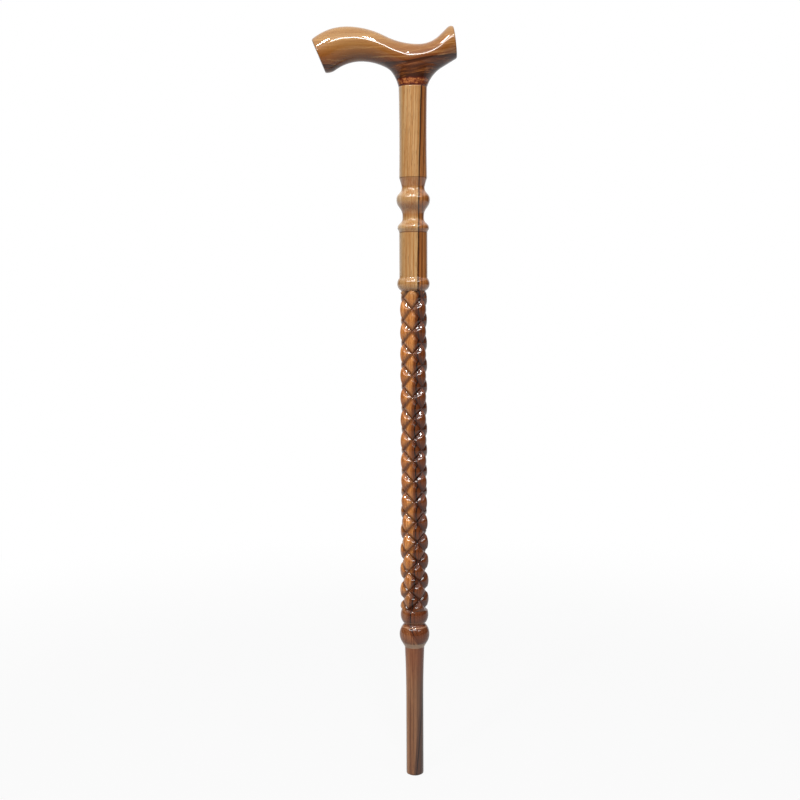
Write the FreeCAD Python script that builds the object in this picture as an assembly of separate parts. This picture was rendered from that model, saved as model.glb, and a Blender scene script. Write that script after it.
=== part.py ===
"""Walking cane: a derby handle on a turned hardwood shaft with a carved lattice of raised diamonds.

The origin is the centre of the tip's flat bottom face. +Z runs up the shaft, the grip's nose points
to -X and the short tail to +X. Lengths are in millimetres and angles in degrees.
"""
import FreeCAD, Part

import math
import os

# Plain lower end of the shaft
tip_diameter = 21.0
tip_edge_height = 2.4
tip_straight_length = 97.5
shoulder_length = 62.0
shoulder_diameter = 23.8

# Cone, ball and bead under the carving
cone_length = 5.6
ball_diameter = 36.3
ball_crown_height = 9.9
ball_height = 24.2
low_neck_diameter = 25.8
low_bead_diameter = 33.6
low_bead_crown_height = 9.9
low_bead_height = 16.7

# Carved length
carved_length = 385.1
carved_diameter = 33.3
valley_diameter = 25.8
carved_end_slope_length = 3.4
carved_end_allowance = 0.5
first_row_drop = 8.3
last_row_rise = 0.5

# Bead above the carving, and the plain band over it
high_bead_foot_diameter = 28.6
high_bead_diameter = 38.9
high_bead_crown_height = 8.7
high_bead_height = 15.4
band_diameter = 33.6
band_length = 54.6

# Ring, bulb and their necks
ring_diameter = 37.6
ring_foot_diameter = 34.4
ring_crown_height = 4.3
ring_flank_length = 11.6
ring_neck_diameter = 25.5
ring_neck_length = 2.6
bulb_diameter = 39.9
bulb_lower_length = 19.6
bulb_upper_length = 14.2
bulb_neck_diameter = 27.1
cove_length = 10.9
cove_depth_share = 0.42

# Plain upper end of the shaft
stick_foot_diameter = 33.1
stick_waist_diameter = 32.3
stick_top_diameter = 33.6
stick_length = 105.7

# Adhesive film and the stud that joins shaft and handle
glue_thickness = 0.4
glue_proud = 0.15
stud_diameter = 8.0
stud_chamfer = 0.8
stud_depth_in_shaft = 42.0
stud_depth_in_handle = 34.0
bore_clearance = 0.15
bore_end_clearance = 0.3

# Handle: an oval grip and a neck, lofted through stations between outlines of tangent arcs. Heights are
# above the collar's bottom face, reaches are from the shaft's axis, and angles of turn are in degrees.
collar_diameter = 33.9
grip_width = 33.9
nose_reach = 117.6
nose_height = 54.8
nose_radius = 63.0
nose_angle = 40.2
crest_radius = 100.0
crest_angle = 26.0
grip_slope_length = 3.0
saddle_radius = 88.0
tail_radius = 35.0
tail_angle = 44.5
tail_slope_length = 12.6
tail_tip_radius = 6.5
tail_tip_angle = 68.0
neck_start_angle = 12.0
neck_radius = 45.0
neck_angle = 22.0
throat_radius = 20.0
throat_angle = 28.0
arch_radius = 63.0
arch_angle = 28.0
nose_arch_radius = 52.0
nose_arch_angle = 36.0
lip_radius = 16.0
lip_angle = 32.0
lip_length = 3.3
tail_neck_start_angle = 17.0
tail_neck_radius = 40.0
tail_neck_angle = 42.0
tail_under_length = 20.5
grip_stations = 24
neck_stations = 6
grip_root_height = 8.0
neck_root_height = 30.0
neck_root_share = 0.97
end_rounding_radius = 1.8

# Carved pattern: raised diamonds in columns round the shaft, every second column half a row lower
columns = 6
half_rows = 30
pattern_start_angle = -8.5
pattern_twist = 38.0
twist_start_share = 0.47
row_taper_share = 0.075
facet_width_share = 0.45
facet_height_share = 0.66
facet_side_diameter = 32.4

# One overrun serves all cuts
cut_overrun = 3.0

# Heights of the turned features above the tip
shoulder_z = tip_straight_length + shoulder_length
ball_z = shoulder_z + cone_length
low_neck_z = ball_z + ball_height
carved_z = low_neck_z + low_bead_height
high_bead_z = carved_z + carved_length
band_z = high_bead_z + high_bead_height
ring_z = band_z + band_length
ring_crown_z = ring_z + ring_crown_height
ring_neck_z = ring_crown_z + ring_flank_length
bulb_foot_z = ring_neck_z + ring_neck_length
bulb_crown_z = bulb_foot_z + bulb_lower_length
bulb_neck_z = bulb_crown_z + bulb_upper_length
stick_z = bulb_neck_z + cove_length
shaft_top_z = stick_z + stick_length
collar_z = shaft_top_z + glue_thickness

bore_diameter = stud_diameter + 2 * bore_clearance


def at(diameter, z):
    """A point of a turned outline, given by its diameter and height."""
    return FreeCAD.Vector(diameter / 2, 0, z)


def line(start, end):
    return Part.LineSegment(start, end).toShape()


def arc(start, middle, end):
    return Part.Arc(start, middle, end).toShape()


def ball_width(diameter, crown_height):
    """Diameter of a ball at a height above or below its crown."""
    return 2 * math.sqrt((diameter / 2) ** 2 - crown_height ** 2)


def ball_zone(low_diameter, low_z, high_diameter, high_z):
    """Part of the outline of a ball that is centred on the shaft's axis."""
    low = at(low_diameter, low_z)
    high = at(high_diameter, high_z)
    centre_z = (high.dot(high) - low.dot(low)) / (high_z - low_z) / 2
    centre = FreeCAD.Vector(0, 0, centre_z)
    middle = (low + high) / 2 - centre
    return arc(low, centre + middle.normalize() * (low - centre).Length, high)


def ogee(start, end):
    """An S curve that leaves both of its ends along the shaft's axis."""
    middle_z = (start.z + end.z) / 2
    curve = Part.BezierCurve()
    curve.setPoles([
        start,
        FreeCAD.Vector(start.x, 0, middle_z),
        FreeCAD.Vector(end.x, 0, middle_z),
        end,
    ])
    return curve.toShape()


def turned(edges):
    """Turns an outline, given as edges from its lowest point to its highest, into a solid."""
    bottom = edges[0].Vertexes[0].Point
    top = edges[-1].Vertexes[-1].Point
    on_axis_low = FreeCAD.Vector(0, 0, bottom.z)
    on_axis_high = FreeCAD.Vector(0, 0, top.z)
    closing = [line(top, on_axis_high), line(on_axis_high, on_axis_low), line(on_axis_low, bottom)]
    outline = Part.Face(Part.Wire(edges + closing))
    return outline.revolve(FreeCAD.Vector(0, 0, 0), FreeCAD.Vector(0, 0, 1), 360)


def low_bead_top_diameter():
    return ball_width(low_bead_diameter, low_bead_height - low_bead_crown_height)


def lower_end():
    """Plain tip, tapered shoulder, cone, ball and bead, up to the foot of the carving."""
    tip_edge = ball_zone(tip_diameter - 2 * tip_edge_height, 0, tip_diameter, tip_edge_height)
    tip = line(at(tip_diameter, tip_edge_height), at(tip_diameter, tip_straight_length))
    shoulder = arc(
        at(tip_diameter, tip_straight_length),
        at(tip_diameter + (shoulder_diameter - tip_diameter) / 4, tip_straight_length + shoulder_length / 2),
        at(shoulder_diameter, shoulder_z),
    )
    ball_foot_diameter = ball_width(ball_diameter, ball_crown_height)
    ball_top_rise = math.sqrt(ball_diameter ** 2 - low_neck_diameter ** 2) / 2
    ball_top_z = ball_z + ball_crown_height + ball_top_rise
    cone = line(at(shoulder_diameter, shoulder_z), at(ball_foot_diameter, ball_z))
    ball = ball_zone(ball_foot_diameter, ball_z, low_neck_diameter, ball_top_z)
    low_neck = line(at(low_neck_diameter, ball_top_z), at(low_neck_diameter, low_neck_z))
    low_bead_foot_diameter = ball_width(low_bead_diameter, low_bead_crown_height)
    low_bead_step = line(at(low_neck_diameter, low_neck_z), at(low_bead_foot_diameter, low_neck_z))
    low_bead = ball_zone(low_bead_foot_diameter, low_neck_z, low_bead_top_diameter(), carved_z)
    return turned([tip_edge, tip, shoulder, cone, ball, low_neck, low_bead_step, low_bead])


def upper_end():
    """Bead, plain band, ring, bulb and plain stick, from the head of the carving to the seam."""
    high_bead = arc(
        at(high_bead_foot_diameter, high_bead_z),
        at(high_bead_diameter, high_bead_z + high_bead_crown_height),
        at(band_diameter, band_z),
    )
    band = line(at(band_diameter, band_z), at(band_diameter, ring_z))
    ring_step = line(at(band_diameter, ring_z), at(ring_foot_diameter, ring_z))
    ring_foot = ogee(at(ring_foot_diameter, ring_z), at(ring_diameter, ring_crown_z))
    ring_flank = ogee(at(ring_diameter, ring_crown_z), at(ring_neck_diameter, ring_neck_z))
    ring_neck = line(at(ring_neck_diameter, ring_neck_z), at(ring_neck_diameter, bulb_foot_z))
    bulb_lower = ogee(at(ring_neck_diameter, bulb_foot_z), at(bulb_diameter, bulb_crown_z))
    bulb_upper = ogee(at(bulb_diameter, bulb_crown_z), at(bulb_neck_diameter, bulb_neck_z))
    cove_middle_diameter = bulb_neck_diameter + cove_depth_share * (stick_foot_diameter - bulb_neck_diameter)
    cove = arc(
        at(bulb_neck_diameter, bulb_neck_z),
        at(cove_middle_diameter, bulb_neck_z + cove_length / 2),
        at(stick_foot_diameter, stick_z),
    )
    stick = arc(
        at(stick_foot_diameter, stick_z),
        at(stick_waist_diameter, stick_z + stick_length / 2),
        at(stick_top_diameter, shaft_top_z),
    )
    return turned([
        high_bead,
        band,
        ring_step,
        ring_foot,
        ring_flank,
        ring_neck,
        bulb_lower,
        bulb_upper,
        cove,
        stick,
    ])


def carving_bounds():
    """What the carved length may fill: it slopes in to the bead at each end, clear of the diamonds."""
    clear_diameter = carved_diameter + 2 * carved_end_allowance
    low_z = carved_z + carved_end_slope_length
    high_z = high_bead_z - carved_end_slope_length
    return turned([
        line(at(low_bead_top_diameter(), carved_z), at(clear_diameter, low_z)),
        line(at(clear_diameter, low_z), at(clear_diameter, high_z)),
        line(at(clear_diameter, high_z), at(high_bead_foot_diameter, high_bead_z)),
    ])


def half_row_z(step):
    """Height of a half row, counted down from the first row; the rows close up towards the tip."""
    first = high_bead_z - first_row_drop
    last = carved_z + last_row_rise
    along = step / half_rows
    return first - (first - last) * along * (1 + row_taper_share * (1 - along))


def twist_at(z):
    """The columns hang straight at first and then wind round the shaft towards the tip."""
    along = (high_bead_z - z) / carved_length
    winding = max(0, (along - twist_start_share) / (1 - twist_start_share))
    ease = winding * winding * (3 - 2 * winding)
    return pattern_start_angle + pattern_twist * ease


def on_lattice(diameter, column, z):
    """A point of the pattern; columns count round the shaft from the one that faces the front."""
    angle = math.radians(column * 360 / columns + twist_at(z))
    return FreeCAD.Vector(diameter / 2 * math.sin(angle), -diameter / 2 * math.cos(angle), z)


def raised_diamond(column, step):
    """One diamond: two facets that meet in an upright ridge, and walls down to the valleys round it."""
    middle = half_row_z(step)
    above = half_row_z(step - 1)
    below = half_row_z(step + 1)
    valley_corners = [
        on_lattice(valley_diameter, column, above),
        on_lattice(valley_diameter, column + 1, middle),
        on_lattice(valley_diameter, column, below),
        on_lattice(valley_diameter, column - 1, middle),
    ]
    valley_middles = [
        on_lattice(valley_diameter, column + 0.5, (above + middle) / 2),
        on_lattice(valley_diameter, column + 0.5, (below + middle) / 2),
        on_lattice(valley_diameter, column - 0.5, (below + middle) / 2),
        on_lattice(valley_diameter, column - 0.5, (above + middle) / 2),
    ]
    facet_corners = [
        on_lattice(carved_diameter, column, middle + facet_height_share * (above - middle)),
        on_lattice(facet_side_diameter, column + facet_width_share, middle),
        on_lattice(carved_diameter, column, middle + facet_height_share * (below - middle)),
        on_lattice(facet_side_diameter, column - facet_width_share, middle),
    ]
    triangles = [
        (facet_corners[0], facet_corners[2], facet_corners[1]),
        (facet_corners[0], facet_corners[3], facet_corners[2]),
    ]
    for side in range(4):
        following = (side + 1) % 4
        triangles.append((valley_corners[side], valley_middles[side], facet_corners[side]))
        triangles.append((valley_middles[side], facet_corners[following], facet_corners[side]))
        triangles.append((valley_middles[side], valley_corners[following], facet_corners[following]))
    return triangles


def lattice():
    """The carved pattern as one closed solid, longer than the carving at both ends."""
    first_step = -2
    last_step = half_rows + 2
    triangles = []
    for step in range(first_step, last_step + 1):
        for column in range(step % 2, columns, 2):
            triangles.extend(raised_diamond(column, step))
    for outer_step, inner_step, centre_z in (
        (first_step - 1, first_step, half_row_z(first_step - 2)),
        (last_step + 1, last_step, half_row_z(last_step + 2)),
    ):
        centre = FreeCAD.Vector(0, 0, centre_z)
        for half_column in range(2 * columns):
            ends = []
            for place in (half_column, half_column + 1):
                column = place / 2
                nearness = abs((column - inner_step) % 2 - 1)
                z = half_row_z(inner_step) + (half_row_z(outer_step) - half_row_z(inner_step)) * nearness
                ends.append(on_lattice(valley_diameter, column, z))
            triangles.append((centre, ends[0], ends[1]))
    faces = [Part.Face(Part.makePolygon([a, b, c, a])) for a, b, c in triangles]
    shell = Part.makeShell(faces)
    shell.sewShape()
    solid = Part.makeSolid(shell)
    if solid.Volume < 0:
        solid.reverse()
    return solid


def make_shaft():
    carved = lattice().common(carving_bounds())
    body = upper_end().fuse([carved, lower_end()])
    bore = Part.makeCylinder(
        bore_diameter / 2,
        stud_depth_in_shaft + bore_end_clearance + cut_overrun,
        FreeCAD.Vector(0, 0, shaft_top_z - stud_depth_in_shaft - bore_end_clearance),
    )
    return body.cut(bore)


class Outline:
    """A chain of edges in the handle's middle plane, each starting where and as the last one ends.

    The heading is an angle from +X towards +Z, and a positive turn is to the left.
    """

    def __init__(self, x, z, heading):
        self.place = FreeCAD.Vector(x, 0, collar_z + z)
        self.heading = heading
        self.edges = []

    def direction(self, heading):
        angle = math.radians(heading)
        return FreeCAD.Vector(math.cos(angle), 0, math.sin(angle))

    def straight(self, length):
        end = self.place + self.direction(self.heading) * length
        self.edges.append(line(self.place, end))
        self.place = end

    def bend(self, radius, turn):
        side = math.copysign(90, turn)
        centre = self.place + self.direction(self.heading + side) * radius
        middle = centre - self.direction(self.heading + side + turn / 2) * radius
        end = centre - self.direction(self.heading + side + turn) * radius
        self.edges.append(arc(self.place, middle, end))
        self.place = end
        self.heading = self.heading + turn

    def continued(self):
        """A new chain that goes on from this one."""
        return Outline(self.place.x, self.place.z - collar_z, self.heading)


def evenly_along(edges, count):
    """Points at equal steps along a chain of edges, from the nose's side to the tail's."""
    places = Part.Wire(Part.__sortEdges__(edges)).discretize(Number=count)
    return sorted(places, key=lambda place: place.x)


def oval(low, high, width):
    """A closed ellipse across the middle plane, through its low point and its high point."""
    half = (high - low) * 0.5
    across = FreeCAD.Vector(0, 1, 0)
    normal = half.cross(across).normalize()
    placing = FreeCAD.Matrix()
    placing.setCol(0, half)
    placing.setCol(1, across * (width / 2))
    placing.setCol(2, normal)
    placing.setCol(3, low + half)
    return Part.Wire(Part.makeCircle(1).transformGeometry(placing).Edges)


def eased_end(end, following):
    """Stations that round over the edge of a cut end; a station is its low and its high point."""
    (end_low, end_high), (low, high) = end, following
    stations = []
    for angle in (90, 45, 0):
        depth = end_rounding_radius * (1 - math.sin(math.radians(angle)))
        inset = end_rounding_radius * (1 - math.cos(math.radians(angle)))
        inward = (end_high - end_low).normalize() * inset
        station_low = end_low + (low - end_low).normalize() * depth + inward
        station_high = end_high + (high - end_high).normalize() * depth - inward
        stations.append(oval(station_low, station_high, grip_width - 2 * inset))
    return stations


def make_handle():
    top = Outline(-nose_reach, nose_height, nose_angle)
    top.bend(nose_radius, -nose_angle)
    top.bend(crest_radius, -crest_angle)
    top.straight(grip_slope_length)
    top.bend(saddle_radius, crest_angle)
    top.bend(tail_radius, tail_angle)
    top.straight(tail_slope_length)
    top.bend(tail_tip_radius, -tail_tip_angle)

    nose_neck = Outline(-collar_diameter / 2, 0, 90 + neck_start_angle)
    nose_neck.bend(neck_radius, neck_angle)
    nose_neck.bend(throat_radius, throat_angle)
    arch = nose_neck.continued()
    arch.bend(arch_radius, arch_angle)
    arch.bend(nose_arch_radius, nose_arch_angle)
    arch.bend(lip_radius, -lip_angle)
    arch.straight(lip_length)
    tail_neck = Outline(collar_diameter / 2, 0, 90 - tail_neck_start_angle)
    tail_neck.bend(tail_neck_radius, -tail_neck_angle)
    tail_under = tail_neck.continued()
    tail_under.straight(tail_under_length)
    grip_root = FreeCAD.Vector(0, 0, collar_z + grip_root_height)
    over_neck = [line(nose_neck.place, grip_root), line(grip_root, tail_neck.place)]

    under_places = evenly_along(arch.edges + over_neck + tail_under.edges, grip_stations)
    stations = list(zip(under_places, evenly_along(top.edges, grip_stations)))
    nose_end = eased_end(stations[0], stations[1])
    tail_end = eased_end(stations[-1], stations[-2])
    middle = [oval(low, high, grip_width) for low, high in stations[1:-1]]
    grip = Part.makeLoft(nose_end + middle + tail_end[::-1], True, True)

    nose_side = sorted(evenly_along(nose_neck.edges, neck_stations), key=lambda place: place.z)
    tail_side = evenly_along(tail_neck.edges, neck_stations)
    neck_ovals = [oval(low, high, collar_diameter) for low, high in zip(nose_side, tail_side)]
    root_z = collar_z + neck_root_height
    root_low = FreeCAD.Vector(neck_root_share * nose_neck.place.x, 0, root_z)
    root_high = FreeCAD.Vector(neck_root_share * tail_neck.place.x, 0, root_z)
    neck_ovals.append(oval(root_low, root_high, neck_root_share * grip_width))
    neck = Part.makeLoft(neck_ovals, True, True)

    bore = Part.makeCylinder(
        bore_diameter / 2,
        cut_overrun + stud_depth_in_handle + bore_end_clearance,
        FreeCAD.Vector(0, 0, collar_z - cut_overrun),
    )
    return grip.fuse(neck).cut(bore)


def make_joint_glue():
    film = Part.makeCylinder(
        stick_top_diameter / 2 + glue_proud,
        glue_thickness,
        FreeCAD.Vector(0, 0, shaft_top_z),
    )
    hole = Part.makeCylinder(
        bore_diameter / 2,
        glue_thickness + 2 * cut_overrun,
        FreeCAD.Vector(0, 0, shaft_top_z - cut_overrun),
    )
    return film.cut(hole)


def make_joining_stud():
    low_z = shaft_top_z - stud_depth_in_shaft
    stud = Part.makeCylinder(
        stud_diameter / 2,
        stud_depth_in_shaft + glue_thickness + stud_depth_in_handle,
        FreeCAD.Vector(0, 0, low_z),
    )
    rims = [edge for edge in stud.Edges if isinstance(edge.Curve, Part.Circle)]
    return stud.makeChamfer(stud_chamfer, rims)


makers = {
    "shaft": make_shaft,
    "joint_glue": make_joint_glue,
    "joining_stud": make_joining_stud,
    "handle": make_handle,
}

os.makedirs("parts", exist_ok=True)
for name, make in makers.items():
    piece = make()
    piece.exportStep(os.path.join("parts", name + ".step"))
    print(name, "valid", piece.isValid(), "solids", len(piece.Solids), "faces", len(piece.Faces))
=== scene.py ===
import math

import bmesh
import bpy
import numpy as np
from mathutils import Matrix, Vector


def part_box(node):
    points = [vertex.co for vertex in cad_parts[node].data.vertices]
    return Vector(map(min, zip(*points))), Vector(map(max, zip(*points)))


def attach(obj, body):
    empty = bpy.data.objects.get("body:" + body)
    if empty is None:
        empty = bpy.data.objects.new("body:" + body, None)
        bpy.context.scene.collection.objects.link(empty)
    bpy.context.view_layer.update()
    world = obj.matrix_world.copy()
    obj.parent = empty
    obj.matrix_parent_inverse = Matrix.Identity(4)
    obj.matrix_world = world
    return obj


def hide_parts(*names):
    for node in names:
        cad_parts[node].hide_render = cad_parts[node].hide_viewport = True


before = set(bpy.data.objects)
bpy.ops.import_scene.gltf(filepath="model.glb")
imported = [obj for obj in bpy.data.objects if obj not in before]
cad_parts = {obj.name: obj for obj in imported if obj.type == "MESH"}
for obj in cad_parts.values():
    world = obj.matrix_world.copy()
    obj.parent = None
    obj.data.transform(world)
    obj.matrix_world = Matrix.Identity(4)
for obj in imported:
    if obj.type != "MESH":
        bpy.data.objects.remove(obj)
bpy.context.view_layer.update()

MM = 0.001
body = "root"

# Heights taken from the frame
shaft_top_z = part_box("shaft")[1].z
collar_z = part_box("handle")[0].z

# Plain lower end of the shaft
tip_diameter = 21.0 * MM
tip_edge_radius = 2.4 * MM
tip_straight_length = 97.5 * MM
shoulder_length = 62.0 * MM
shoulder_diameter = 23.8 * MM

# Cone, ball and bead under the carving
cone_length = 5.6 * MM
ball_diameter = 36.3 * MM
ball_crown_height = 9.9 * MM
ball_height = 24.2 * MM
low_neck_diameter = 25.8 * MM
low_bead_diameter = 33.6 * MM
low_bead_crown_height = 9.9 * MM
low_bead_height = 16.7 * MM

# Carved length
carved_length = 385.1 * MM
carved_diameter = 34.4 * MM
facet_side_diameter = 33.8 * MM
valley_diameter = 24.0 * MM
carved_end_slope_length = 3.4 * MM
first_row_drop = 8.3 * MM
last_row_rise = 0.5 * MM
columns = 6
half_rows = 30
column_angle = math.radians(360 / columns)
pattern_start_angle = -8.5
pattern_twist = 38.0
twist_start_share = 0.47
row_taper_share = 0.075
facet_width_share = 0.43
facet_height_share = 0.66
facet_crown = 1.5 * MM
hand_cut_tilt = 0.6 * MM
uneven_waves = (12.9898, 78.233, 37.719)
uneven_scale = 43758.5453
lacquer_softening = 0.16 * MM
carved_row_step = 0.4 * MM
plain_row_step = 1.2 * MM
points_around = 300

# Bead above the carving, and the plain band over it
high_bead_foot_diameter = 28.6 * MM
high_bead_diameter = 38.9 * MM
high_bead_crown_height = 8.7 * MM
high_bead_height = 15.4 * MM
band_diameter = 33.6 * MM
band_length = 54.6 * MM

# Ring, bulb and their necks
ring_diameter = 37.6 * MM
ring_foot_diameter = 34.4 * MM
ring_crown_height = 4.3 * MM
ring_flank_length = 11.6 * MM
ring_neck_diameter = 25.5 * MM
ring_neck_length = 2.6 * MM
bulb_diameter = 39.9 * MM
bulb_lower_length = 19.6 * MM
bulb_upper_length = 14.2 * MM
bulb_neck_diameter = 27.1 * MM
cove_length = 10.9 * MM
cove_depth_share = 0.42

# Plain upper end of the shaft
stick_foot_diameter = 33.1 * MM
stick_waist_diameter = 32.3 * MM
stick_top_diameter = 33.6 * MM

# Heights on the shaft, each from the one below it
shoulder_z = tip_straight_length + shoulder_length
ball_z = shoulder_z + cone_length
low_neck_z = ball_z + ball_height
carved_z = low_neck_z + low_bead_height
high_bead_z = carved_z + carved_length
band_z = high_bead_z + high_bead_height
ring_z = band_z + band_length
ring_crown_z = ring_z + ring_crown_height
ring_neck_z = ring_crown_z + ring_flank_length
bulb_foot_z = ring_neck_z + ring_neck_length
bulb_crown_z = bulb_foot_z + bulb_lower_length
bulb_neck_z = bulb_crown_z + bulb_upper_length
stick_z = bulb_neck_z + cove_length

# Handle: chains of tangent arcs in its middle plane, each bend with its radius in mm and its turn in degrees
collar_diameter = 33.9 * MM
grip_width = 33.9 * MM
nose_reach = 118.8 * MM
nose_height = 54.8 * MM
nose_angle = 40.2
nose_neck_angle = 12.0
tail_neck_angle = 17.0
crest_bends = ((63.0, -40.2), (100.0, -26.0))
saddle_length = 3.0 * MM
tail_bends = ((88.0, 26.0), (35.0, 44.5))
tail_slope_length = 12.6 * MM
tail_tip_bend = (6.5, -68.0)
neck_bends = ((45.0, 22.0), (20.0, 28.0))
arch_bends = ((63.0, 28.0), (52.0, 36.0), (16.0, -32.0))
lip_length = 3.3 * MM
tail_neck_bend = (40.0, -42.0)
tail_under_length = 20.5 * MM
grip_root_height = 8.0 * MM
neck_root_height = 30.0 * MM
neck_root_share = 0.97
end_rounding_radius = 1.2 * MM
grip_stations = 70
neck_stations = 24
skin_voxel = 0.5 * MM
smoothing_rounds = 10

# Camera, at the photograph's angle: its place in metres, its angles in degrees, its lens and film in mm
camera_distance = 1.437
camera_height = 0.5739
camera_side = -0.0166
camera_drop_angle = 4.5
camera_roll = -0.24
camera_lens = 54.0
camera_film = 36.0


def mesh_object(name, points, faces):
    mesh = bpy.data.meshes.new(name)
    mesh.from_pydata([tuple(p) for p in points], [], [tuple(f) for f in faces])
    mesh.validate()
    mesh.shade_smooth()
    piece = bpy.data.objects.new(name, mesh)
    bpy.context.scene.collection.objects.link(piece)
    return piece


# Turned outline of the shaft

def arc_run(start, middle, end, count=40):
    """Points on the circle through three (radius, height) points."""
    (ax, ay), (bx, by), (cx, cy) = start, middle, end
    d = 2 * (ax * (by - cy) + bx * (cy - ay) + cx * (ay - by))
    ux = ((ax**2 + ay**2) * (by - cy) + (bx**2 + by**2) * (cy - ay) + (cx**2 + cy**2) * (ay - by)) / d
    uy = ((ax**2 + ay**2) * (cx - bx) + (bx**2 + by**2) * (ax - cx) + (cx**2 + cy**2) * (bx - ax)) / d
    radius = math.hypot(ax - ux, ay - uy)
    first, half, last = (math.atan2(y - uy, x - ux) for x, y in (start, middle, end))
    half = first + (half - first + math.pi) % (2 * math.pi) - math.pi
    last = half + (last - half + math.pi) % (2 * math.pi) - math.pi
    angles = np.linspace(first, last, count)
    return np.column_stack([ux + radius * np.cos(angles), uy + radius * np.sin(angles)])


def ogee_run(start, end, count=40):
    """An S curve that leaves both of its ends along the axis."""
    t = np.linspace(0, 1, count)
    rise = 3 * t**2 - 2 * t**3
    middle = (start[1] + end[1]) / 2
    height = start[1] * (1 - t)**3 + 3 * middle * t * (1 - t) + end[1] * t**3
    return np.column_stack([start[0] + (end[0] - start[0]) * rise, height])


def ball_width(diameter, crown_height):
    """Diameter of a ball at a height above or below its crown."""
    return 2 * math.sqrt((diameter / 2)**2 - crown_height**2)


low_bead_top_diameter = ball_width(low_bead_diameter, low_bead_height - low_bead_crown_height)


def turned_outline():
    """(radius, height) points from the tip to the seam; the carving lies on the stretch between its beads."""
    edge_middle = tip_edge_radius * (1 - math.sqrt(0.5))
    runs = [arc_run(
        (tip_diameter / 2 - tip_edge_radius, 0),
        (tip_diameter / 2 - edge_middle, edge_middle),
        (tip_diameter / 2, tip_edge_radius),
    )]
    runs.append(arc_run(
        (tip_diameter / 2, tip_straight_length),
        (tip_diameter / 2 + (shoulder_diameter - tip_diameter) / 8, shoulder_z - shoulder_length / 2),
        (shoulder_diameter / 2, shoulder_z),
    ))
    ball_crown_z = ball_z + ball_crown_height
    runs.append(arc_run(
        (ball_width(ball_diameter, ball_crown_height) / 2, ball_z),
        (ball_diameter / 2, ball_crown_z),
        (low_neck_diameter / 2, ball_crown_z + math.sqrt(ball_diameter**2 - low_neck_diameter**2) / 2),
    ))
    runs.append([(low_neck_diameter / 2, low_neck_z)])
    runs.append(arc_run(
        (ball_width(low_bead_diameter, low_bead_crown_height) / 2, low_neck_z),
        (low_bead_diameter / 2, low_neck_z + low_bead_crown_height),
        (low_bead_top_diameter / 2, carved_z),
    ))
    runs.append(arc_run(
        (high_bead_foot_diameter / 2, high_bead_z),
        (high_bead_diameter / 2, high_bead_z + high_bead_crown_height),
        (band_diameter / 2, band_z),
    ))
    runs.append([(band_diameter / 2, ring_z)])
    runs.append(ogee_run((ring_foot_diameter / 2, ring_z), (ring_diameter / 2, ring_crown_z)))
    runs.append(ogee_run((ring_diameter / 2, ring_crown_z), (ring_neck_diameter / 2, ring_neck_z)))
    runs.append(ogee_run((ring_neck_diameter / 2, bulb_foot_z), (bulb_diameter / 2, bulb_crown_z)))
    runs.append(ogee_run((bulb_diameter / 2, bulb_crown_z), (bulb_neck_diameter / 2, bulb_neck_z)))
    cove_middle = bulb_neck_diameter + cove_depth_share * (stick_foot_diameter - bulb_neck_diameter)
    runs.append(arc_run(
        (bulb_neck_diameter / 2, bulb_neck_z),
        (cove_middle / 2, bulb_neck_z + cove_length / 2),
        (stick_foot_diameter / 2, stick_z),
    ))
    runs.append(arc_run(
        (stick_foot_diameter / 2, stick_z),
        (stick_waist_diameter / 2, (stick_z + shaft_top_z) / 2),
        (stick_top_diameter / 2, shaft_top_z),
    ))
    return np.vstack(runs)


def half_row_z(step):
    """Height of a row of diamonds; the even rows stand on the even columns."""
    first = high_bead_z - first_row_drop
    last = carved_z + last_row_rise
    along = step / half_rows
    return first - (first - last) * along * (1 + row_taper_share * (1 - along))


def twist_at(z):
    """Degrees by which the carved columns have wound round the shaft at a height."""
    along = (high_bead_z - z) / carved_length
    winding = np.clip((along - twist_start_share) / (1 - twist_start_share), 0, 1)
    return pattern_start_angle + pattern_twist * winding * winding * (3 - 2 * winding)


def uneven(column, step, kind):
    """A repeatable number between -1 and 1 for one diamond."""
    wave_column, wave_step, wave_kind = uneven_waves
    wave = np.sin(column * wave_column + step * wave_step + kind * wave_kind) * uneven_scale
    return 2 * (wave - np.floor(wave)) - 1


def flat_facet(turn):
    """Radius of a flat facet, by the angle from the ridge line to its side corner."""
    corner = column_angle * facet_width_share
    return math.sin(corner) / (
        np.sin(corner - turn) / (carved_diameter / 2) + np.sin(turn) / (facet_side_diameter / 2))


def crown_drop(across, along):
    """How far the crowned facet has fallen from its middle, by shares of a column and a row."""
    return facet_crown * ((across / facet_width_share)**2 + (along / facet_height_share)**2)


def carved_radius(column, z):
    """Radius of the carved surface; column counts round the shaft in the twisted pattern."""
    steps = np.arange(-3, half_rows + 4)
    place = np.interp(-z, -half_row_z(steps), steps)
    radius = np.zeros(np.broadcast_shapes(column.shape, place.shape))
    # Two sets of diamonds, the second a column and a row beside the first
    for offset in (0, 1):
        row = np.round((place - offset) / 2) * 2 + offset
        along = place - row
        across = (column - offset + 1) % 2 - 1
        own_column = np.round(column - across) % columns
        # Each diamond leans a little its own way, as cut by hand
        tilt = hand_cut_tilt * (uneven(own_column, row, 0) * across + uneven(own_column, row, 1) * along)
        u = np.abs(across)
        v = np.abs(along)
        from_middle = np.maximum(u + v, 1e-6)
        side = u / from_middle
        edge = 1 / (side / facet_width_share + (1 - side) / facet_height_share)
        top = flat_facet(np.minimum(u, facet_width_share) * column_angle) - crown_drop(u, v)
        rim = flat_facet(edge * side * column_angle) - crown_drop(edge * side, edge * (1 - side))
        fall = np.clip((from_middle - edge) / (1 - edge), 0, 1)
        wall = rim + (valley_diameter / 2 - rim) * fall
        here = np.where(from_middle <= edge, top + tilt, wall + tilt * (1 - fall))
        radius = np.where(from_middle <= 1, np.maximum(radius, here), radius)
    return radius


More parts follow.
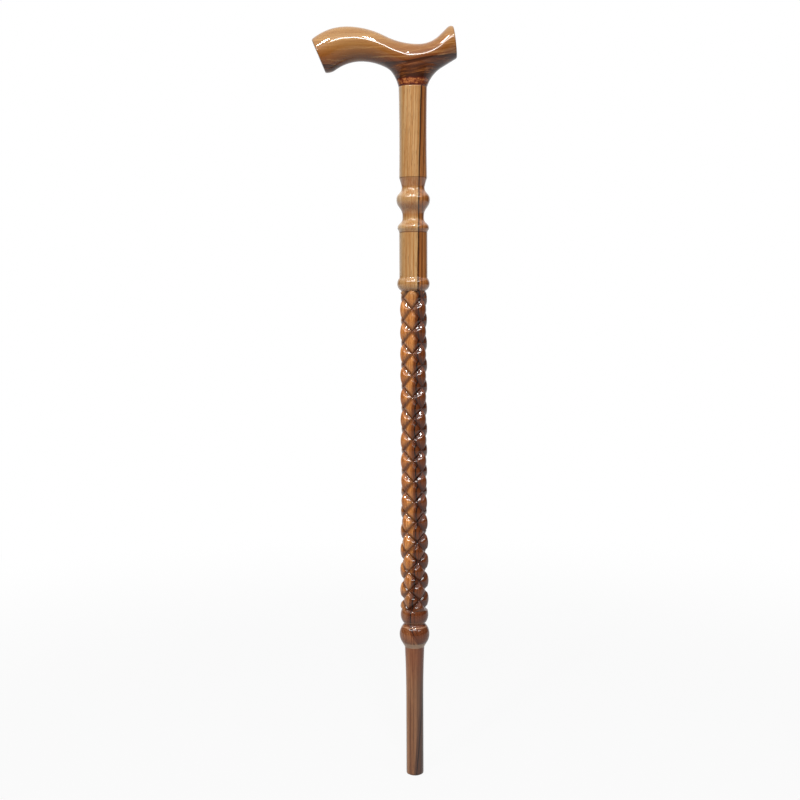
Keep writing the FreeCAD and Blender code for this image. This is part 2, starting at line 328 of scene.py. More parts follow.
def soften(values, spacing, axis, ends):
    """Rounds the creases of a field of radii, as the lacquer does."""
    reach = max(1, int(round(3 * lacquer_softening / spacing)))
    offsets = np.arange(-reach, reach + 1)
    kernel = np.exp(-0.5 * (offsets * spacing / lacquer_softening)**2)
    kernel /= kernel.sum()
    pad = [(0, 0), (0, 0)]
    pad[axis] = (reach, reach)
    padded = np.pad(values, pad, mode=ends)
    result = np.zeros_like(values)
    for i, weight in enumerate(kernel):
        window = [slice(None), slice(None)]
        window[axis] = slice(i, i + values.shape[axis])
        result += weight * padded[tuple(window)]
    return result


def row_heights():
    """Heights of the skin's rows, closer together on the carving."""
    runs = []
    for low, high, step in (
        (0, carved_z, plain_row_step),
        (carved_z, high_bead_z, carved_row_step),
        (high_bead_z, shaft_top_z, plain_row_step),
    ):
        runs.append(np.linspace(low, high, round((high - low) / step), endpoint=False))
    return np.append(np.concatenate(runs), shaft_top_z)


def make_shaft():
    outline = turned_outline()
    heights = row_heights()
    plain = np.interp(heights, outline[:, 1], outline[:, 0])
    field = np.repeat(plain[:, None], points_around, axis=1)

    carved = (heights >= carved_z) & (heights <= high_bead_z)
    z = heights[carved][:, None]
    column = np.arange(points_around) * columns / points_around
    low_share = np.clip((z - carved_z) / carved_end_slope_length, 0, 1)
    high_share = np.clip((high_bead_z - z) / carved_end_slope_length, 0, 1)
    low_slope = low_bead_top_diameter + (carved_diameter - low_bead_top_diameter) * low_share
    high_slope = high_bead_foot_diameter + (carved_diameter - high_bead_foot_diameter) * high_share
    cut = np.minimum(carved_radius(column[None, :], z), np.minimum(low_slope, high_slope) / 2)
    cut = soften(cut, carved_row_step, 0, "edge")
    field[carved] = soften(cut, math.pi * carved_diameter / points_around, 1, "wrap")

    angles = (column * column_angle)[None, :] + np.radians(twist_at(heights))[:, None]
    points = np.stack([
        field * np.sin(angles),
        -field * np.cos(angles),
        np.repeat(heights[:, None], points_around, axis=1),
    ], axis=-1).reshape(-1, 3)
    index = np.arange(len(heights) * points_around).reshape(-1, points_around)
    low = index[:-1]
    high = index[1:]
    quads = np.stack([low, np.roll(low, -1, axis=1), np.roll(high, -1, axis=1), high], axis=-1)
    faces = quads.reshape(-1, 4).tolist() + [index[0][::-1].tolist(), index[-1].tolist()]
    return mesh_object("lacquered_shaft", points, faces)


# Handle

class Outline:
    """A chain of tangent lines and arcs in the handle's middle plane, kept as closely spaced points."""

    def __init__(self, x, z, heading):
        self.place = np.array([x, z])
        self.heading = heading
        self.points = [self.place]

    def direction(self, heading):
        return np.array([math.cos(math.radians(heading)), math.sin(math.radians(heading))])

    def straight(self, length):
        end = self.place + self.direction(self.heading) * length
        self.points.extend(self.place + (end - self.place) * share for share in np.linspace(0.1, 1, 10))
        self.place = end
        return self

    def bend(self, radius_mm, turn):
        radius = radius_mm * MM
        side = math.copysign(90, turn)
        centre = self.place + self.direction(self.heading + side) * radius
        for share in np.linspace(0, 1, 41)[1:]:
            self.points.append(centre - self.direction(self.heading + side + turn * share) * radius)
        self.place = self.points[-1]
        self.heading = self.heading + turn
        return self

    def bends(self, pairs):
        for radius_mm, turn in pairs:
            self.bend(radius_mm, turn)
        return self


def evenly(points, count):
    """Points at equal steps along a chain."""
    points = np.array(points)
    steps = np.hypot(*np.diff(points, axis=0).T)
    along = np.concatenate([[0], np.cumsum(steps)])
    targets = np.linspace(0, along[-1], count)
    return np.column_stack([np.interp(targets, along, points[:, 0]), np.interp(targets, along, points[:, 1])])


def loft(name, stations, around=96):
    """A closed skin over ovals, each given by its low point, its high point and its width."""
    points = []
    for low, high, width in stations:
        middle = (low + high) / 2
        half = (high - low) / 2
        for k in range(around):
            angle = 2 * math.pi * k / around
            x, z = middle + half * math.cos(angle)
            points.append((x, width / 2 * math.sin(angle), z))
    count = len(stations)
    faces = []
    for first in range(0, (count - 1) * around, around):
        for k in range(around):
            n = (k + 1) % around
            faces.append((first + k, first + n, first + around + n, first + around + k))
    faces.append(list(range(around))[::-1])
    faces.append([(count - 1) * around + k for k in range(around)])
    return mesh_object(name, points, faces)


def eased_end(end, following):
    """Stations that round over the edge of a cut end."""
    (end_low, end_high), (low, high) = end, following
    stations = []
    for angle in (90, 60, 30, 0):
        depth = end_rounding_radius * (1 - math.sin(math.radians(angle)))
        inset = end_rounding_radius * (1 - math.cos(math.radians(angle)))
        inward = (end_high - end_low) / np.linalg.norm(end_high - end_low) * inset
        to_low = (low - end_low) / np.linalg.norm(low - end_low) * depth
        to_high = (high - end_high) / np.linalg.norm(high - end_high) * depth
        stations.append((end_low + to_low + inward, end_high + to_high - inward, grip_width - 2 * inset))
    return stations


def make_handle():
    top = Outline(-nose_reach, nose_height, nose_angle)
    top.bends(crest_bends).straight(saddle_length).bends(tail_bends)
    top.straight(tail_slope_length).bend(*tail_tip_bend)
    nose_neck = Outline(-collar_diameter / 2, 0, 90 + nose_neck_angle).bends(neck_bends)
    arch = Outline(*nose_neck.place, nose_neck.heading).bends(arch_bends).straight(lip_length)
    tail_neck = Outline(collar_diameter / 2, 0, 90 - tail_neck_angle).bend(*tail_neck_bend)
    tail_under = Outline(*tail_neck.place, tail_neck.heading).straight(tail_under_length)

    grip_root = np.array([0, grip_root_height])
    under = evenly(arch.points[::-1] + [grip_root] + tail_under.points, grip_stations)
    over = evenly(top.points, grip_stations)
    pairs = list(zip(under, over))
    stations = eased_end(pairs[0], pairs[1])
    stations += [(low, high, grip_width) for low, high in pairs[1:-1]]
    stations += eased_end(pairs[-1], pairs[-2])[::-1]
    grip = loft("grip_skin", stations)

    nose_side = evenly(nose_neck.points, neck_stations)
    tail_side = evenly(tail_neck.points, neck_stations)
    ovals = [(low, high, collar_diameter) for low, high in zip(nose_side, tail_side)]
    ovals.append((
        np.array([neck_root_share * nose_neck.place[0], neck_root_height]),
        np.array([neck_root_share * tail_neck.place[0], neck_root_height]),
        neck_root_share * grip_width,
    ))
    neck = loft("neck_skin", ovals)

    skin = bpy.data.meshes.new("lacquered_handle")
    joined = bmesh.new()
    joined.from_mesh(grip.data)
    joined.from_mesh(neck.data)
    joined.to_mesh(skin)
    joined.free()
    for part in (grip, neck):
        bpy.data.objects.remove(part)
    handle = bpy.data.objects.new("lacquered_handle", skin)
    bpy.context.scene.collection.objects.link(handle)
    handle.location.z = collar_z
    remesh = handle.modifiers.new("one_skin", "REMESH")
    remesh.mode = "VOXEL"
    remesh.voxel_size = skin_voxel
    smooth = handle.modifiers.new("rubbed_smooth", "SMOOTH")
    smooth.factor = 0.5
    smooth.iterations = smoothing_rounds
    bpy.context.view_layer.update()
    evaluated = handle.evaluated_get(bpy.context.evaluated_depsgraph_get())
    final = bpy.data.meshes.new_from_object(evaluated)
    final.transform(handle.matrix_world)
    bpy.data.objects.remove(handle)
    final.shade_smooth()
    piece = bpy.data.objects.new("lacquered_handle", final)
    bpy.context.scene.collection.objects.link(piece)
    return piece


# Materials

class Nodes:
    """Short calls for building the node tree of a material or a world."""

    def __init__(self, owner):
        self.owner = owner
        owner.use_nodes = True
        self.tree = owner.node_tree
        self.tree.nodes.clear()

    def new(self, kind, **inputs):
        node = self.tree.nodes.new("ShaderNode" + kind)
        for key, value in inputs.items():
            self.set(node, key, value)
        return node

    def set(self, node, key, value):
        socket = node.inputs[key]
        if isinstance(value, bpy.types.NodeSocket):
            self.tree.links.new(value, socket)
        else:
            socket.default_value = value

    def math(self, operation, a, b=0.0):
        node = self.new("Math")
        node.operation = operation
        self.set(node, 0, a)
        self.set(node, 1, b)
        return node.outputs[0]

    def times(self, a, b):
        return self.math("MULTIPLY", a, b)

    def length(self, x, y):
        return self.math("SQRT", self.math("ADD", self.times(x, x), self.times(y, y)))

    def place(self):
        """The object's own x, y and z."""
        coordinates = self.new("TexCoord").outputs["Object"]
        split = self.new("SeparateXYZ", Vector=coordinates)
        return split.outputs[0], split.outputs[1], split.outputs[2]

    def vector(self, x, y, z):
        return self.new("CombineXYZ", X=x, Y=y, Z=z).outputs[0]

    def noise(self, place, cells, detail=3.0, roughness=0.5):
        """A noise with so many cells per metre along each axis."""
        vector = self.vector(*(self.times(value, count) for value, count in zip(place, cells)))
        node = self.new("TexNoise", Vector=vector, Scale=1.0, Detail=detail, Roughness=roughness)
        return node.outputs["Fac"]

    def drift(self, place, cells, detail, width):
        """A noise that wanders to both sides of zero, over a width."""
        return self.times(self.math("SUBTRACT", self.noise(place, cells, detail), 0.5), width)

    def smoothstep(self, value, low, high):
        node = self.new("MapRange", **{"Value": value, "From Min": low, "From Max": high})
        node.interpolation_type = "SMOOTHSTEP"
        return node.outputs[0]

    def above(self, value, level, fade):
        """0 under a level and 1 over it, changing within the fade to both sides."""
        return self.smoothstep(value, level - fade, level + fade)

    def below(self, value, level, fade):
        return self.smoothstep(value, level + fade, level - fade)

    def near(self, value, level, core, reach):
        """1 as near to a level as the core, 0 beyond the reach."""
        return self.smoothstep(self.math("ABSOLUTE", self.math("SUBTRACT", value, level)), reach, core)

    def mix(self, share, a, b):
        node = self.new("Mix")
        node.data_type = "RGBA"
        self.set(node, 0, share)
        self.set(node, 6, a)
        self.set(node, 7, b)
        return node.outputs[2]

    def mix_value(self, share, a, b):
        return self.new("MapRange", **{"Value": share, "To Min": a, "To Max": b}).outputs[0]

    def with_stains_and_painted_light(self, color, stains_and_painted_light):
        """The colour under stains and painted light and shade in turn; each has its area, its strength and
        its own colour.
        """
        for area, (strength, mark_color) in stains_and_painted_light:
            color = self.mix(self.times(area, strength), color, srgb(*mark_color))
        return color

    def ramp(self, value, stops):
        """Colours by value; stops are (value in mm, 8-bit colour) pairs."""
        low = stops[0][0] * MM
        high = stops[-1][0] * MM
        node = self.new("ValToRGB", Fac=self.math("DIVIDE", self.math("SUBTRACT", value, low), high - low))
        elements = node.color_ramp.elements
        while len(elements) < len(stops):
            elements.new(0.5)
        for element, (at, color) in zip(elements, stops):
            element.position = (at * MM - low) / (high - low)
        for element, (at, color) in zip(elements, stops):
            element.color = srgb(*color)
        return node.outputs[0]

    def principled(self, color, **inputs):
        shader = self.new("BsdfPrincipled")
        self.set(shader, "Base Color", color)
        for key, value in inputs.items():
            self.set(shader, key.replace("_", " "), value)
        self.new("OutputMaterial", Surface=shader.outputs[0])
        return self.owner


def srgb(red, green, blue):
    """A colour given as 8-bit values, as the shader's linear colour."""
    def linear(value):
        share = value / 255
        return share / 12.92 if share <= 0.04045 else ((share + 0.055) / 1.055)**2.4
    return (linear(red), linear(green), linear(blue), 1.0)


def curve_through(n, value, low, high, shares):
    """A smooth curve of offsets; shares are places on the stretch and offsets as parts of the reach."""
    node = n.new("FloatCurve", Value=n.math("DIVIDE", n.math("SUBTRACT", value, low), high - low))
    points = node.mapping.curves[0].points
    while len(points) < len(shares):
        points.new(0.5, 0.5)
    for point, (at, offset) in zip(points, shares):
        point.location = (at, offset / 2 + 0.5)
    node.mapping.update()
    return n.times(n.math("SUBTRACT", node.outputs[0], 0.5), 2 * curve_reach)


def lacquered(n, color, weight):
    return n.principled(
        color, Roughness=0.45, Specular_IOR_Level=0.1, Coat_Weight=weight, Coat_Roughness=0.04)


# Farthest offset of the curves of the streak and the heartwood
curve_reach = 20.0 * MM

# Grains of the shaft, in cells per metre across, in depth and along it
shaft_drift_cells = (40.0, 40.0, 25.0)
shaft_drift_width = 1.6 * MM
shaft_band_cells = (260.0, 60.0, 3.0)
shaft_fine_cells = (720.0, 360.0, 9.0)
shaft_pore_cells = (1500.0, 1500.0, 110.0)
shaft_band_share = 0.45
shaft_grain_range = (0.38, 0.62)
shaft_pore_range = (0.56, 0.72)

# Weight of the clear coat: on the plain top, below the high bead, and on the handle
top_coat = 1.0
carved_coat = 0.62
handle_coat = 0.85

# The dark streak's offset to the right of the axis, by height on the shaft
streak_shares = (
    (0.0, 0.1), (0.072, 0.33), (0.123, 0.5), (0.183, 0.525), (0.234, -0.25), (0.265, -0.12),
    (0.349, 0.06), (0.411, 0.12), (0.512, 0.03), (0.584, 0.135), (0.713, 0.265), (0.870, 0.345),
    (0.995, 0.485),
)
streak_core = 0.4 * MM
streak_edge = 1.0 * MM
halo_core = 0.6 * MM
halo_edge = 1.9 * MM
second_line_offset = 4.6 * MM
second_line_core = 0.2 * MM
second_line_edge = 0.7 * MM
heart_offset = 3.4 * MM
heart_fade = 1.0 * MM
streak_gap_low_z = 100.0 * MM
streak_gap_high_z = 176.0 * MM
streak_gap_fade = 8.0 * MM
streak_faint_z = 160.0 * MM
streak_faint_fade = 10.0 * MM
streak_faint_share = 0.8

# In the carving the grain leans with the depth of the cut, and the valleys are darkened with painted shade
carving_overlap = 0.5 * MM
carving_fade = 1.0 * MM
coat_fade = 1.5 * MM
lean_radius = 16.0 * MM
lean_share = 0.55
valley_shade_radius = 14.1 * MM
valley_shade_fade = 1.3 * MM
beside_streak_offset = -5.0 * MM
beside_streak_fade = 3.5 * MM

# Where the wood's colours, and the painted light and shade, change along the shaft
carved_color_drop = 3.6 * MM
carved_color_fade = 12.5 * MM
low_color_rise = 11.5 * MM
low_color_fade = 22.5 * MM
grain_turn_drop = 5.3 * MM
grain_turn_fade = 16.0 * MM
redder_z = 127.5 * MM
redder_fade = 27.5 * MM
shoulder_fade = 0.5 * MM
# Painted shade: the right side of the plain lower end is darkened
right_shade_fade = 6.0 * MM
cone_fade = 0.75 * MM
ball_stain_rise = 1.4 * MM
ball_stain_fade = 1.0 * MM
ball_stain_end_fade = 1.5 * MM
ring_line_drop = 0.6 * MM
ring_line_core = 0.3 * MM
ring_line_edge = 0.9 * MM
thin_line_edge = 0.8 * MM
# Painted shade: the bulb's lower side is darkened
bulb_shade_drop = 1.35 * MM
bulb_shade_fade = 1.75 * MM
bulb_shade_end_drop = 3.95 * MM
bulb_shade_end_fade = 3.25 * MM
# Painted shade: the cove under the plain top is darkened
cove_shade_drop = 0.9 * MM
cove_shade_fade = 1.5 * MM
cove_shade_end_drop = 0.55 * MM
cove_shade_end_fade = 0.75 * MM
# Painted reflection: a pale sheen down the left edge of the shaft above the band
left_sheen_x = -13.75 * MM
left_sheen_fade = 1.25 * MM
left_sheen_rise = 2.5 * MM
left_sheen_end_fade = 1.0 * MM
# Painted highlights: two thin pale rings about the low neck
glint_ring_rises = (-4.1 * MM, 1.3 * MM)

# Colours of the wood as 8-bit values: on the plain top, on the carving and on the lower end
sapwood_pale = ((186, 147, 100), (216, 147, 82), (172, 120, 79))
sapwood_warm = ((162, 110, 58), (162, 92, 40), (106, 62, 33))
heartwood_pale = ((176, 114, 62), (120, 60, 24), (100, 64, 42))
heartwood_warm = ((128, 72, 30), (68, 30, 12), (56, 30, 17))

# Stains of the wood and painted light: how strong, and their 8-bit colour. The right side, valleys, cove,
# bulb, stick edge and ring groove are painted shade, the left edge and cone painted reflection, the pale
# rings painted highlights
pore_stain = (0.45, (84, 48, 26))
halo_stain = (0.3, (74, 36, 14))
streak_stain = (0.92, (22, 12, 9))
second_line_stain = (0.6, (40, 22, 14))
beside_streak_stain = (0.65, (104, 54, 24))
painted_right_shade = (0.8, (80, 52, 39))
redder_stain = (0.45, (128, 60, 24))
painted_valley_shade = (0.72, (70, 28, 10))
painted_left_sheen = (0.5, (212, 190, 160))
painted_cove_shade = (0.5, (140, 80, 36))
painted_bulb_shade = (0.45, (140, 80, 36))
painted_stick_edge_shade = (0.6, (84, 38, 16))
ball_stain = (0.5, (118, 54, 18))
painted_ring_groove_shade = (0.75, (84, 38, 16))
painted_cone_reflection = (0.85, (176, 142, 114))
painted_ring_glints = (0.45, (206, 158, 122))


def shaft_wood():
    n = Nodes(bpy.data.materials.new("shaft_wood"))
    x, y, z = n.place()
    from_axis = n.length(x, y)
    in_carving = n.times(
        n.below(z, high_bead_z + carving_overlap, carving_fade),
        n.above(z, carved_z - carving_overlap, carving_fade),
    )
    streak_x = curve_through(n, z, 0.0, shaft_top_z, streak_shares)
    drift = n.drift((x, y, z), shaft_drift_cells, 2.0, shaft_drift_width)
    lean = n.times(n.math("SUBTRACT", from_axis, lean_radius), lean_share)
    side = n.math("ADD", n.math("SUBTRACT", x, streak_x), drift)
    side = n.math("ADD", side, n.times(lean, in_carving))

    grain = n.mix_value(n.below(z, low_neck_z - grain_turn_drop, grain_turn_fade), side, x)
    bands = n.noise((grain, y, z), shaft_band_cells, detail=5.0, roughness=0.6)
    fine = n.noise((grain, y, z), shaft_fine_cells)
    pores = n.noise((grain, y, z), shaft_pore_cells, detail=1.0)
    share = n.math("ADD", n.times(bands, shaft_band_share), n.times(fine, 1 - shaft_band_share))
    share = n.smoothstep(share, *shaft_grain_range)
    carved = n.below(z, high_bead_z - carved_color_drop, carved_color_fade)
    low = n.below(z, carved_z + low_color_rise, low_color_fade)

    def by_length(top_color, carved_color, low_color):
        return n.mix(low, n.mix(carved, srgb(*top_color), srgb(*carved_color)), srgb(*low_color))

    sapwood = n.mix(share, by_length(*sapwood_warm), by_length(*sapwood_pale))
    heartwood = n.mix(share, by_length(*heartwood_warm), by_length(*heartwood_pale))
    heart_side = n.math("ADD", side, n.times(carved, heart_offset))
    color = n.mix(n.above(heart_side, 0.0, heart_fade), sapwood, heartwood)

    gap = n.times(
        n.below(z, streak_gap_high_z, streak_gap_fade),
        n.above(z, streak_gap_low_z, streak_gap_fade),
    )
    faint = n.mix_value(n.above(z, streak_faint_z, streak_faint_fade), streak_faint_share, 1.0)
    kept = n.times(n.math("SUBTRACT", 1.0, gap), faint)
    halo = n.times(n.near(side, 0.0, halo_core, halo_edge), kept)
    line = n.times(n.near(side, 0.0, streak_core, streak_edge), kept)
    second_line = n.times(n.near(side, second_line_offset, second_line_core, second_line_edge), kept)
    under_shoulder = n.below(z, shoulder_z, shoulder_fade)
    stains_and_painted_light = [
        (n.smoothstep(pores, *shaft_pore_range), pore_stain),
        (halo, halo_stain),
        (n.times(n.above(side, beside_streak_offset, beside_streak_fade), in_carving), beside_streak_stain),
        # Painted shade: the right side of the plain lower end is darkened
        (n.times(n.above(x, 0.0, right_shade_fade), under_shoulder), painted_right_shade),
        (n.times(n.above(z, redder_z, redder_fade), under_shoulder), redder_stain),
        # Painted shade: the carving darkened where it lies deep, in the valleys
        (n.times(n.below(from_axis, valley_shade_radius, valley_shade_fade), in_carving), painted_valley_shade),
        # Painted reflection: a pale sheen down the left edge of the shaft above the band
        (n.times(
            n.below(x, left_sheen_x, left_sheen_fade),
            n.above(z, band_z + left_sheen_rise, left_sheen_end_fade),
        ), painted_left_sheen),
        # Painted shade: the cove under the plain top is darkened
        (n.times(
            n.below(z, stick_z - cove_shade_end_drop, cove_shade_end_fade),
            n.above(z, bulb_neck_z - cove_shade_drop, cove_shade_fade),
        ), painted_cove_shade),
        # Painted shade: the bulb's lower side is darkened
        (n.times(
            n.below(z, bulb_crown_z - bulb_shade_end_drop, bulb_shade_end_fade),
            n.above(z, bulb_foot_z - bulb_shade_drop, bulb_shade_fade),
        ), painted_bulb_shade),
        # Painted shade: a thin dark line where the cove meets the plain top
        (n.near(z, stick_z, ring_line_core, thin_line_edge), painted_stick_edge_shade),
        (n.times(
            n.above(z, ball_z + ball_stain_rise, ball_stain_fade),
            n.below(z, carved_z - carving_overlap, ball_stain_end_fade),
        ), ball_stain),
        # Painted shade: a thin dark line for the small groove under the ring
        (n.near(z, ring_z - ring_line_drop, ring_line_core, ring_line_edge), painted_ring_groove_shade),
        # Painted reflection: the downward-facing cone under the ball made pale grey-tan, as the floor's
        # reflection
        (n.times(n.above(z, shoulder_z, shoulder_fade), n.below(z, ball_z, cone_fade)), painted_cone_reflection),
        (line, streak_stain),
        (second_line, second_line_stain),
    ]
    # Painted highlights: two thin pale rings about the low neck
    for rise in glint_ring_rises:
        stains_and_painted_light.append((n.near(z, low_neck_z + rise, ring_line_core, thin_line_edge), painted_ring_glints))
    coat = n.mix_value(n.above(z, high_bead_z + carving_overlap, coat_fade), carved_coat, top_coat)
    return lacquered(n, n.with_stains_and_painted_light(color, stains_and_painted_light), coat)


# Grains of the handle, in cells per metre along the grip, across it and up
handle_drift_cells = (25.0, 50.0, 60.0)
handle_drift_width = 3.0 * MM
handle_band_cells = (7.0, 90.0, 330.0)
handle_fine_cells = (40.0, 500.0, 1500.0)
handle_pore_cells = (110.0, 2200.0, 2200.0)
handle_band_share = 0.7
handle_pore_range = (0.58, 0.74)

# Where the grain turns lighter and darker, and how strongly in the sapwood and in the heartwood
light_grain_range = (0.50, 0.62)
light_grain_shares = (0.25, 0.5)
dark_grain_range = (0.50, 0.38)
dark_grain_shares = (0.30, 0.6)

# The top of the handle's dark heartwood above the collar's foot, by place between nose and tail
heartwood_height = 25.6 * MM
heartwood_nose_x = -120.0 * MM
heartwood_tail_x = 55.0 * MM
heartwood_fade = 1.0 * MM
heartwood_shares = (
    (0.011, -0.075), (0.114, -0.125), (0.229, -0.1), (0.343, -0.05), (0.457, 0.0),
    (0.594, 0.025), (0.674, 0.1), (0.774, 0.275), (0.863, 0.36), (0.983, 0.525),
)

# Colours of the handle by height in mm over the heartwood's top, and those of its grain,
# each in the sapwood and in the heartwood
handle_colors = (
    (-16.0, (58, 26, 8)), (-6.0, (84, 41, 14)), (-1.2, (74, 34, 11)), (0.2, (34, 12, 5)),
    (1.4, (102, 49, 13)), (8.0, (120, 68, 21)), (18.0, (139, 90, 41)), (34.0, (158, 117, 69)),
)
light_grain_colors = ((212, 166, 106), (160, 96, 44))
dark_grain_colors = ((124, 70, 28), (36, 15, 7))
handle_pore_stain = (0.2, (84, 48, 26))

# The collar's paler band, between two ragged dark-red lines
collar_ragged_cells = (160.0, 160.0, 60.0)
collar_ragged_width = 5.0 * MM
collar_patch_cells = (300.0, 300.0, 300.0)
collar_patch_range = (0.42, 0.60)
collar_band_height = 8.0 * MM
collar_band_fade = 0.6 * MM
collar_patch_share = 0.8
collar_patch_colors = ((104, 42, 22), (182, 110, 60))
red_line_color = (72, 18, 10)
red_lines = ((8.2 * MM, 0.7), (1.0 * MM, 0.85))
red_line_core = 0.3 * MM
red_line_edge = 1.3 * MM


def handle_wood():
    n = Nodes(bpy.data.materials.new("handle_wood"))
    x, y, z = n.place()
    height = n.math("SUBTRACT", z, collar_z + heartwood_height)
    rise = curve_through(n, x, heartwood_nose_x, heartwood_tail_x, heartwood_shares)
    drift = n.drift((x, y, z), handle_drift_cells, 3.0, handle_drift_width)
    layer = n.math("ADD", n.math("SUBTRACT", height, rise), drift)
    bands = n.noise((x, y, layer), handle_band_cells, detail=5.0, roughness=0.6)
    fine = n.noise((x, y, layer), handle_fine_cells, detail=2.0)
    pores = n.noise((x, y, layer), handle_pore_cells, detail=1.0)
    share = n.math("ADD", n.times(bands, handle_band_share), n.times(fine, 1 - handle_band_share))
    in_heart = n.below(layer, 0.0, heartwood_fade)
    color = n.ramp(layer, handle_colors)
    lighter = n.times(n.smoothstep(share, *light_grain_range), n.mix_value(in_heart, *light_grain_shares))
    color = n.mix(lighter, color, n.mix(in_heart, *(srgb(*c) for c in light_grain_colors)))
    darker = n.times(n.smoothstep(share, *dark_grain_range), n.mix_value(in_heart, *dark_grain_shares))
    color = n.mix(darker, color, n.mix(in_heart, *(srgb(*c) for c in dark_grain_colors)))
    color = n.with_stains_and_painted_light(color, [(n.smoothstep(pores, *handle_pore_range), handle_pore_stain)])

    # Paler mottled patches over the collar's band
    ragged = n.drift((x, y, z), collar_ragged_cells, 3.0, collar_ragged_width)
    up = n.math("ADD", n.math("SUBTRACT", z, collar_z), ragged)
    on_collar = n.below(up, collar_band_height, collar_band_fade)
    patches = n.noise((x, y, z), collar_patch_cells, detail=4.0, roughness=0.65)
    band_patches = n.mix(n.smoothstep(patches, *collar_patch_range), *(srgb(*c) for c in collar_patch_colors))
    color = n.mix(n.times(on_collar, collar_patch_share), color, band_patches)
    color = n.with_stains_and_painted_light(color, [
        (n.near(up, line_height, red_line_core, red_line_edge), (strength, red_line_color))
        for line_height, strength in red_lines
    ])
    return lacquered(n, color, handle_coat)


# Patches of the cured glue and turning marks of the steel stud, in cells per metre
glue_patch_cells = (400.0, 400.0, 400.0)
glue_patch_range = (0.35, 0.65)
turning_mark_cells = (80.0, 80.0, 4000.0)


def cured_glue():
    n = Nodes(bpy.data.materials.new("cured_glue"))
    patches = n.smoothstep(n.noise(n.place(), glue_patch_cells), *glue_patch_range)
    color = n.mix(patches, srgb(70, 18, 12), srgb(130, 52, 30))
    return n.principled(color, Roughness=0.3, Coat_Weight=1.0, Coat_Roughness=0.05)


def stud_steel():
    n = Nodes(bpy.data.materials.new("stud_steel"))
    turning = n.noise(n.place(), turning_mark_cells)
    color = n.mix(turning, srgb(150, 150, 156), srgb(190, 190, 196))
    return n.principled(color, Roughness=0.32, Metallic=1.0)


# Studio, in metres and degrees: the floor, the wall, and where and how much they are seen as plain white
floor_reach = 8.0
floor_paint = (0.4, 0.4, 0.4, 1.0)
floor_fade_radii = (0.5, 1.6)
floor_fade_shares = (0.93, 1.0)
floor_front = (-0.8, -0.15)
floor_front_shares = (0.3, 1.0)
wall_radius = 5.5
wall_height = 4.5
wall_half_turn = 150
wall_step_angle = 5
wall_paint = (0.12, 0.12, 0.12, 1.0)
wall_fade_from = 3.0
wall_back_y = 4.8
white = (1.0, 1.0, 1.0, 1.0)
world_light = 0.3


def seen_rays(n):
    """1 for rays of the eye, also by way of a mirror or glass, and 0 for scattered light."""
    paths = n.new("LightPath")
    seen = n.math("MAXIMUM", paths.outputs["Is Camera Ray"], paths.outputs["Is Glossy Ray"])
    return n.math("MAXIMUM", seen, paths.outputs["Is Transmission Ray"])


def paint_stage(piece, n, paint, share):
    """Paints a piece of the studio, of which a share is seen as plain white."""
    diffuse = n.new("BsdfDiffuse", Color=paint)
    plain_white = n.new("Emission", Color=white, Strength=1.0)
    mixer = n.new("MixShader", Fac=n.times(seen_rays(n), share))
    n.set(mixer, 1, diffuse.outputs[0])
    n.set(mixer, 2, plain_white.outputs[0])
    n.new("OutputMaterial", Surface=mixer.outputs[0])
    piece.data.materials.append(n.owner)


def make_floor():
    corners = [(x * floor_reach, y * floor_reach, 0) for x, y in ((-1, -1), (1, -1), (1, 1), (-1, 1))]
    floor = mesh_object("floor", corners, [(0, 1, 2, 3)])
    n = Nodes(bpy.data.materials.new("floor_white"))
    x, y, z = n.place()
    around = n.mix_value(n.smoothstep(n.length(x, y), *floor_fade_radii), *floor_fade_shares)
    behind = n.mix_value(n.smoothstep(y, *floor_front), *floor_front_shares)
    paint_stage(floor, n, floor_paint, n.times(around, behind))


def make_wall():
    """A dark wall round the studio that the lacquer reflects, white behind the cane and at its top."""
    points = []
    for angle in np.radians(np.arange(-wall_half_turn, wall_half_turn + 1, wall_step_angle)):
        for z in (0, wall_height):
            points.append((wall_radius * math.sin(angle), -wall_radius * math.cos(angle), z))
    faces = [(k, k + 2, k + 3, k + 1) for k in range(0, len(points) - 2, 2)]
    wall = mesh_object("dark_wall", points, faces)
    n = Nodes(bpy.data.materials.new("wall_grey"))
    x, y, z = n.place()
    behind = n.smoothstep(y, wall_fade_from, wall_back_y)
    fade = n.math("MAXIMUM", behind, n.smoothstep(z, wall_fade_from, wall_height))
    paint_stage(wall, n, wall_paint, fade)


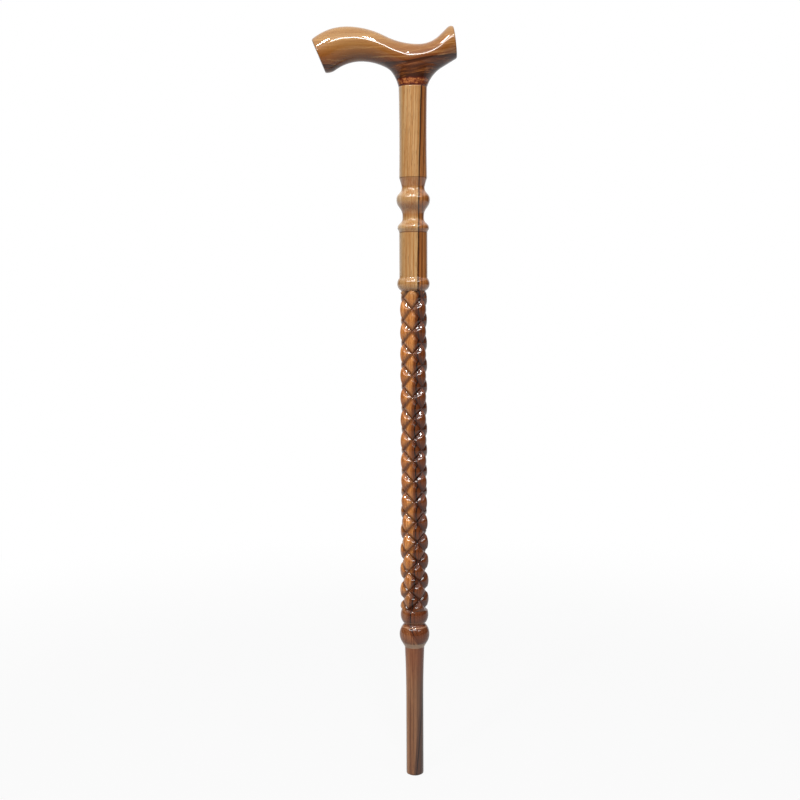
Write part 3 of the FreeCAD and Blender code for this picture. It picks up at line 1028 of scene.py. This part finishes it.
def make_world():
    """A world that is white to look at and sheds little light."""
    world = bpy.data.worlds.new("studio")
    bpy.context.scene.world = world
    n = Nodes(world)
    background = n.new("Background", Color=white, Strength=n.mix_value(seen_rays(n), world_light, 1.0))
    n.new("OutputWorld", Surface=background.outputs[0])


def lamp(name, place, size, power):
    """A lamp that faces the shaft's bulb; size is its length and depth, power in watts."""
    light = bpy.data.lights.new(name, "AREA")
    light.energy = power
    light.shape = "RECTANGLE"
    light.size, light.size_y = size
    piece = bpy.data.objects.new(name, light)
    bpy.context.scene.collection.objects.link(piece)
    piece.location = place
    piece.rotation_euler = (Vector((0, 0, lamp_target_z)) - Vector(place)).to_track_quat("-Z", "Y").to_euler()


# Lamps: ceiling panels in a row in front of the cane, and two small spots nearer to it
lamp_target_z = 0.7
panel_y = -2.4
panel_z = 2.42
lamps = (
    ("panel_left", (-2.0, panel_y, panel_z), (2.2, 0.26), 38),
    ("panel_middle", (-0.08, panel_y, panel_z), (1.2, 0.3), 36),
    ("panel_right", (2.3, panel_y, panel_z), (1.8, 0.26), 25),
    ("spot_left", (-0.78, -1.41, 2.4), (0.15, 0.15), 16),
    ("spot_right", (0.18, -1.55, 2.4), (0.19, 0.19), 20),
)


def make_camera():
    camera_data = bpy.data.cameras.new("camera")
    camera_data.lens = camera_lens
    camera_data.sensor_width = camera_film
    camera_data.sensor_height = camera_film
    camera_data.sensor_fit = "HORIZONTAL"
    camera = bpy.data.objects.new("camera", camera_data)
    bpy.context.scene.collection.objects.link(camera)
    camera.location = (camera_side, -camera_distance, camera_height)
    upright = Matrix.Rotation(math.radians(90 - camera_drop_angle), 4, "X")
    roll = Matrix.Rotation(math.radians(camera_roll), 4, "Z")
    camera.rotation_euler = (upright @ roll).to_euler()
    bpy.context.scene.camera = camera


def dress(piece, material, node=None):
    piece.data.materials.clear()
    piece.data.materials.append(material)
    if node:
        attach(piece, body)
        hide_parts(node)


dress(make_shaft(), shaft_wood(), "shaft")
dress(make_handle(), handle_wood(), "handle")
dress(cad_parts["joint_glue"], cured_glue())
dress(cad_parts["joining_stud"], stud_steel())
make_floor()
make_wall()
make_world()
for lamp_values in lamps:
    lamp(*lamp_values)
make_camera()

bpy.context.scene.view_settings.view_transform = "Standard"
